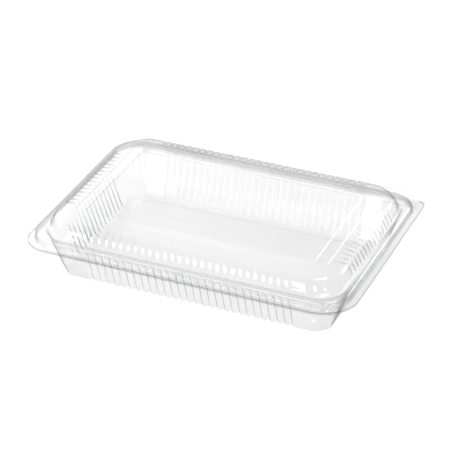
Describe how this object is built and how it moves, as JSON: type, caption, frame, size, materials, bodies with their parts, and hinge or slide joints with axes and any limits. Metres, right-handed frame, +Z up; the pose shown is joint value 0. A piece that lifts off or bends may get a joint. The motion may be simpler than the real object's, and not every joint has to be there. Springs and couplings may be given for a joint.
{
  "type": "plastic clamshell pack",
  "caption": "Clear formed clamshell pack: tray and lid with fluted shoulders, nesting rims and a ribbed living hinge that lets the lid fold right back.",
  "frame": {"origin": "On the table under the middle of the closed pack's box, hinge ribs included.", "axes": "+X to the pack's right as it is seen from its front, +Y towards the hinge, +Z up."},
  "size_m": [0.24, 0.1712, 0.0465],
  "materials": {
    "clear_sheet": "clear glossy formed film"
  },
  "bodies": {
    "tray": {"tray": "clear_sheet"},
    "hinge_strip": {"hinge_strip": "clear_sheet"},
    "lid": {"lid": "clear_sheet"}
  },
  "joints": [
    {"name": "lower_fold", "type": "hinge", "parent": "tray", "child": "hinge_strip", "pos_m": [0, 0.08145, 0.0228], "axis": [-1, 0, 0], "range_deg": [0, 90]},
    {"name": "upper_fold", "type": "hinge", "parent": "hinge_strip", "child": "lid", "pos_m": [0, 0.08145, 0.0352], "axis": [-1, 0, 0], "range_deg": [0, 90]}
  ],
  "couplings": [
    {"joint": "lower_fold", "follows": "upper_fold", "ratio": 1}
  ]
}
